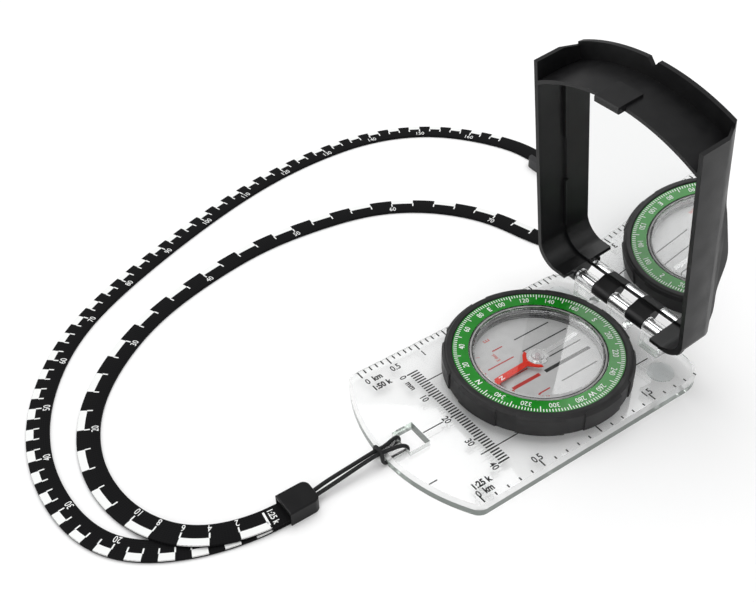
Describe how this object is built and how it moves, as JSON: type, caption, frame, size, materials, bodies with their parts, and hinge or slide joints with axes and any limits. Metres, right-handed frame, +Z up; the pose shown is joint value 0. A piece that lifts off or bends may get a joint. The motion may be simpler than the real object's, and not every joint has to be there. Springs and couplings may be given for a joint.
{
  "type": "baseplate compass",
  "caption": "Clear baseplate compass with a turning dial, free needle, hinged mirror lid and a printed neck lanyard.",
  "frame": {"origin": "underside of the baseplate, on the dial's axis", "axes": "+Z up along the dial's axis, +Y along the plate towards the lid's hinge, +X to the right"},
  "size_m": [0.1677, 0.2138, 0.09],
  "materials": {
    "clear_acrylic": "polished clear",
    "pad_silicone": "clear satin",
    "bezel_rubber": "fine matt texture",
    "snap_ring_steel": "bright drawn",
    "dial_green": "gloss, white printed graduations",
    "capsule_clear": "polished clear",
    "seal_rubber": "soft",
    "disc_frosted": "frosted, printed lines",
    "pin_steel": "ground point",
    "jewel": "polished",
    "needle_clear": "clear",
    "needle_red": "satin paint",
    "lid_black": "fine matt texture",
    "hinge_steel": "polished",
    "mirror": "first-surface bright",
    "mirror_foam": "closed-cell foam",
    "strap_webbing": "fine woven, white printed scales",
    "block_black": "satin moulded",
    "cord": "round braided",
    "clasp_grey": "satin moulded"
  },
  "bodies": {
    "base": {"baseplate": "clear_acrylic", "grip_pads": "pad_silicone", "cord_loop": "cord"},
    "lid": {"lid_frame": "lid_black", "hinge_pin": "hinge_steel", "mirror": "mirror", "mirror_pad": "mirror_foam"},
    "dial": {"bezel_ring": "bezel_rubber", "retaining_ring": "snap_ring_steel", "azimuth_ring": "dial_green", "capsule_body": "capsule_clear", "capsule_cover": "capsule_clear", "capsule_seal": "seal_rubber", "orienting_disc": "disc_frosted", "pivot_pin": "pin_steel"},
    "needle": {"jewel_bearing": "jewel", "needle_hub": "needle_clear", "needle_blade": "needle_red"},
    "lanyard": {"strap_end_block": "block_black", "strap_outer_run": "strap_webbing", "strap_inner_run": "strap_webbing", "clasp_socket": "clasp_grey", "clasp_plug": "clasp_grey"}
  },
  "joints": [
    {"name": "lid_hinge", "type": "hinge", "parent": "base", "child": "lid", "pos_m": [0, 0.0322, 0.01], "axis": [1, 0, 0], "range_deg": [-93, 83]},
    {"name": "dial_rotation", "type": "hinge", "parent": "base", "child": "dial", "pos_m": [0, 0, 0], "axis": [0, 0, 1], "continuous": true},
    {"name": "needle_swing", "type": "hinge", "parent": "dial", "child": "needle", "pos_m": [0, 0, 0], "axis": [0, 0, 1], "continuous": true},
    {"name": "lanyard_swing", "type": "hinge", "parent": "base", "child": "lanyard", "pos_m": [0.0005, -0.075, 0.0022], "axis": [0, 0, 1], "range_deg": [0, 45]}
  ]
}
